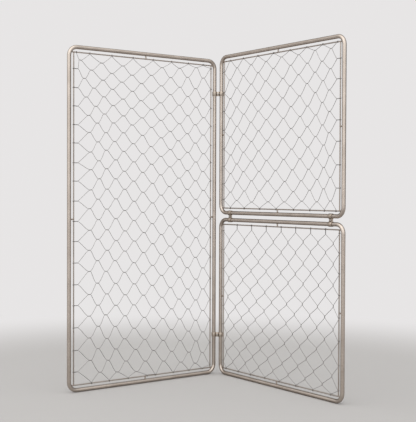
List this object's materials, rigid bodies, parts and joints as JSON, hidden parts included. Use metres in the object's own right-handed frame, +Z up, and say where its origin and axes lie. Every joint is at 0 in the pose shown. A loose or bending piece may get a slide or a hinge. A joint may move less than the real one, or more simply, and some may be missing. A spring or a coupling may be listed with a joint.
{
  "type": "folding mesh screen",
  "caption": "Folding two-leaf screen: bent steel tube frames with rounded corners, thin inner rods and tied wire netting, joined by strap-clamp hinges.",
  "frame": {"origin": "middle of the footprint of the opened screen, on the floor", "axes": "+Z up; the left leaf lies in a plane of constant Y and runs to -X from the hinge, the right leaf lies in a plane of constant X and runs to -Y"},
  "size_m": [1.041, 1.101, 1.922],
  "materials": {
    "frame_tube": "satin brushed stainless tube, warm grey",
    "inner_rod": "satin drawn rod, warm grey",
    "peg": "short welded peg, heat-tinted at its welds",
    "net_wire": "dull galvanised wire, twisted at the knots",
    "clamp_strap": "pressed steel strap, satin",
    "fastener": "plain steel bolt and nut"
  },
  "bodies": {
    "hinge_links": {"lower_hinge_rear_strap": "clamp_strap", "lower_hinge_front_strap": "clamp_strap", "lower_hinge_bolt": "fastener", "lower_hinge_nut": "fastener", "upper_hinge_rear_strap": "clamp_strap", "upper_hinge_front_strap": "clamp_strap", "upper_hinge_bolt": "fastener", "upper_hinge_nut": "fastener"},
    "left_leaf": {"left_tube_frame": "frame_tube", "left_bottom_rod": "inner_rod", "left_top_rod": "inner_rod", "left_inner_rod": "inner_rod", "left_outer_rod": "inner_rod", "left_bottom_peg": "peg", "left_top_peg": "peg", "left_inner_peg": "peg", "left_outer_peg": "peg", "left_net": "net_wire"},
    "right_leaf": {"lower_tube_frame": "frame_tube", "lower_bottom_rod": "inner_rod", "lower_top_rod": "inner_rod", "lower_inner_rod": "inner_rod", "lower_outer_rod": "inner_rod", "lower_bottom_peg": "peg", "lower_top_peg": "peg", "lower_inner_peg": "peg", "lower_outer_peg": "peg", "lower_net": "net_wire", "upper_tube_frame": "frame_tube", "upper_bottom_rod": "inner_rod", "upper_top_rod": "inner_rod", "upper_inner_rod": "inner_rod", "upper_outer_rod": "inner_rod", "upper_bottom_peg": "peg", "upper_top_peg": "peg", "upper_inner_peg": "peg", "upper_outer_peg": "peg", "upper_net": "net_wire", "inner_coupler_rear_strap": "clamp_strap", "inner_coupler_front_strap": "clamp_strap", "inner_coupler_bolt": "fastener", "inner_coupler_nut": "fastener", "outer_coupler_rear_strap": "clamp_strap", "outer_coupler_front_strap": "clamp_strap", "outer_coupler_bolt": "fastener", "outer_coupler_nut": "fastener"}
  },
  "joints": [
    {"name": "left_swing", "type": "hinge", "parent": "hinge_links", "child": "left_leaf", "pos_m": [0.4765, 0.5362, 0.9], "axis": [0, 0, -1], "range_deg": [-45, 135]},
    {"name": "right_swing", "type": "hinge", "parent": "hinge_links", "child": "right_leaf", "pos_m": [0.5062, 0.5065, 0.9], "axis": [0, 0, 1], "range_deg": [-45, 135]}
  ]
}
